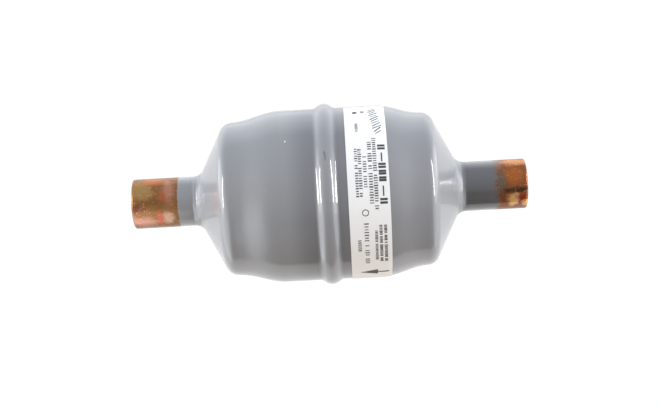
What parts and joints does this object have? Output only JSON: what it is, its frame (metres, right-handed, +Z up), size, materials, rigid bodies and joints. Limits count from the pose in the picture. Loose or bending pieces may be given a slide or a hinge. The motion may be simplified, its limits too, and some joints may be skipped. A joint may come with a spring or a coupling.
{
  "type": "filter drier",
  "caption": "Stepped steel shell welded round its middle, with a copper solder socket at each end and a spring-loaded desiccant core inside.",
  "frame": {"origin": "on the flow axis, inside the crown of the seam weld, which is also the centre of the part's box", "axes": "X along the flow axis, +X out of the inlet socket; +Z up; the middle of the label faces forward (-Y) and 35 degrees up"},
  "size_m": [0.1004, 0.0464, 0.0464],
  "materials": {
    "grey_enamel": "glossy",
    "copper": "heat-tinted",
    "label_film": "satin",
    "zinc_steel": "pressed",
    "spring_steel": "drawn wire",
    "wire_cloth": "woven",
    "moulded_desiccant": "porous",
    "glass_felt": "felted",
    "gasket_felt": "felted"
  },
  "bodies": {
    "root": {"inlet_shell": "grey_enamel", "outlet_shell": "grey_enamel", "seam_weld": "grey_enamel", "inlet_fitting": "copper", "outlet_fitting": "copper", "inlet_braze": "grey_enamel", "outlet_braze": "grey_enamel", "label": "label_film", "desiccant_core": "moulded_desiccant", "core_spring": "spring_steel", "spring_plate": "zinc_steel", "core_gasket": "gasket_felt", "filter_pad": "glass_felt", "outlet_screen": "wire_cloth", "support_plate": "zinc_steel"}
  },
  "joints": []
}
